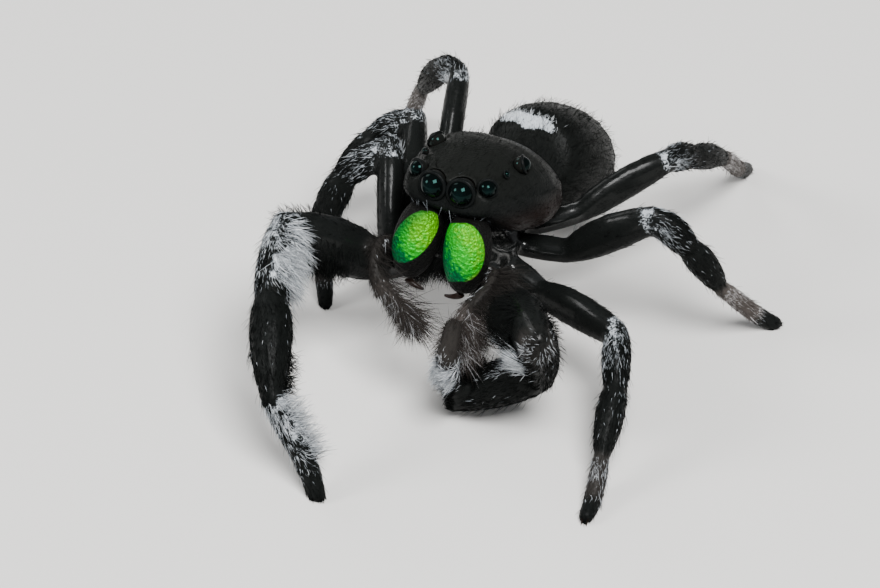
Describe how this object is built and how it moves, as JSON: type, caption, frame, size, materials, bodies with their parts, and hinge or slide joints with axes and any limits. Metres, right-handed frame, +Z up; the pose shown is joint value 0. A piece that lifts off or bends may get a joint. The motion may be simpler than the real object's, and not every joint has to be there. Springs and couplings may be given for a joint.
{
  "type": "jumping spider",
  "caption": "Life-size still model of a black jumping spider with bright green jaws, standing with one front leg folded in.",
  "frame": {"origin": "on the floor, under the middle of the box round the whole spider", "axes": "+Z up, -Y the way the head faces, +X the spider's left"},
  "size_m": [0.0138, 0.0186, 0.0063],
  "materials": {
    "black_cuticle": "satin black skin with an olive sheen",
    "black_coat": "short black hair",
    "white_hair": "white and grey hair",
    "green_chelicera": "iridescent green, finely pitted",
    "eye": "polished dark lens"
  },
  "bodies": {
    "root": {"abdomen": "black_coat", "carapace": "black_cuticle", "chelicera_left": "green_chelicera", "chelicera_right": "green_chelicera", "eye_front_middle_left": "eye", "eye_front_middle_right": "eye", "eye_front_side_left": "eye", "eye_front_side_right": "eye", "eye_rear_left": "eye", "eye_rear_right": "eye", "eye_small_left": "eye", "eye_small_right": "eye", "fang_left": "black_cuticle", "fang_right": "black_cuticle", "leg_1_left_femur": "black_coat", "leg_1_left_foot": "black_coat", "leg_1_left_patella": "white_hair", "leg_1_left_tibia": "black_coat", "leg_1_right_femur": "black_coat", "leg_1_right_foot": "black_coat", "leg_1_right_patella": "white_hair", "leg_1_right_tibia": "black_coat", "leg_2_left_femur": "black_coat", "leg_2_left_foot": "black_coat", "leg_2_left_patella": "white_hair", "leg_2_left_tibia": "black_coat", "leg_2_right_femur": "black_coat", "leg_2_right_foot": "black_coat", "leg_2_right_patella": "white_hair", "leg_2_right_tibia": "black_coat", "leg_3_left_femur": "black_coat", "leg_3_left_foot": "black_coat", "leg_3_left_patella": "white_hair", "leg_3_left_tibia": "black_coat", "leg_3_right_femur": "black_coat", "leg_3_right_foot": "black_coat", "leg_3_right_patella": "white_hair", "leg_3_right_tibia": "black_coat", "leg_4_left_femur": "black_coat", "leg_4_left_foot": "black_coat", "leg_4_left_patella": "white_hair", "leg_4_left_tibia": "black_coat", "leg_4_right_femur": "black_coat", "leg_4_right_foot": "black_coat", "leg_4_right_patella": "white_hair", "leg_4_right_tibia": "black_coat", "palp_left_arm": "black_coat", "palp_left_tip": "black_coat", "palp_right_arm": "black_coat", "palp_right_tip": "black_coat", "pedicel": "black_cuticle", "spinnerets": "black_cuticle", "underside": "black_cuticle"}
  },
  "joints": []
}
